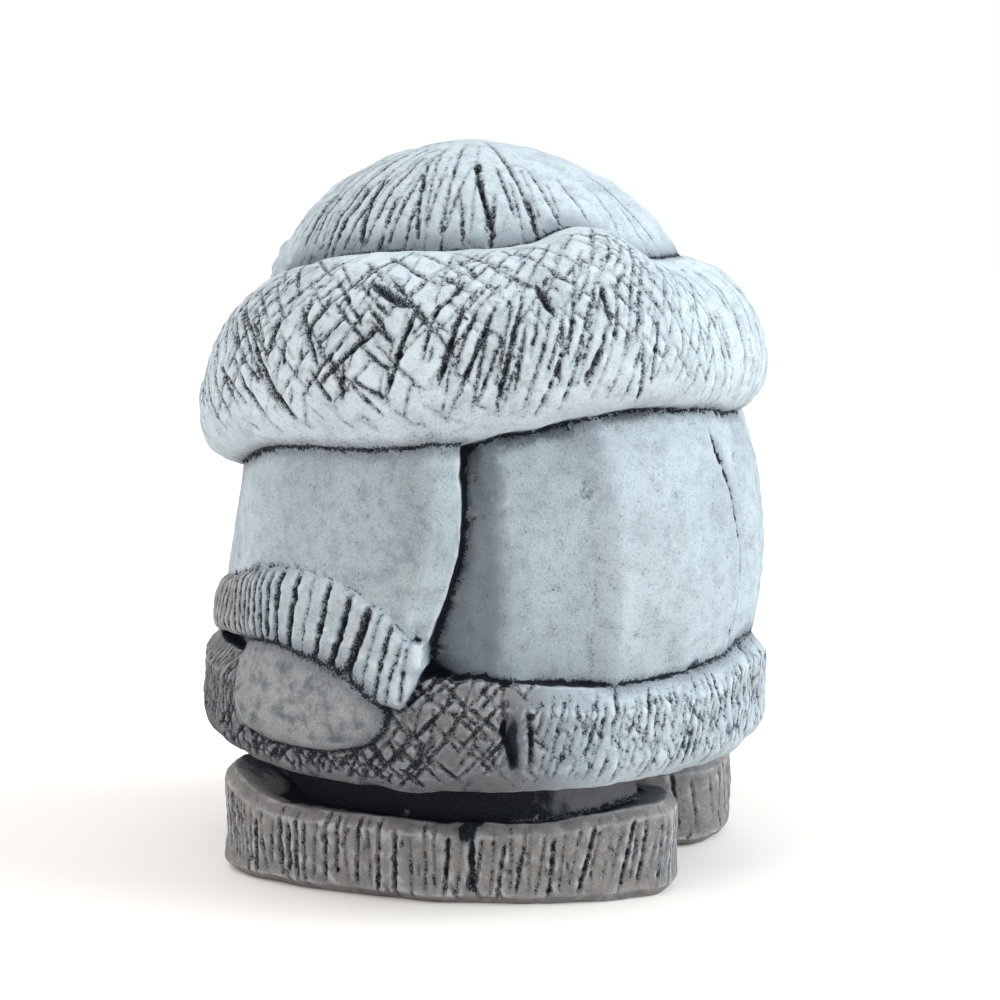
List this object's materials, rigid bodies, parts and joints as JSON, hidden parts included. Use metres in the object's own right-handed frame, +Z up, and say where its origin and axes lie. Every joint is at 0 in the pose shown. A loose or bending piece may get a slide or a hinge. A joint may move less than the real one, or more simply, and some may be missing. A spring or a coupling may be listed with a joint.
{
  "type": "inuit figurine",
  "caption": "Small cast figurine of a person in a hooded fur parka with mittens and fur boots, standing on flat soles.",
  "frame": {"origin": "middle of the footprint, on the surface that the soles stand on", "axes": "+Z up, the figure faces -Y, its left side is +X"},
  "size_m": [0.051, 0.0476, 0.06],
  "materials": {
    "cast_stone": "matt pale blue-grey cast stone with a dark wash in the carving"
  },
  "bodies": {
    "root": {"figurine": "cast_stone"}
  },
  "joints": []
}
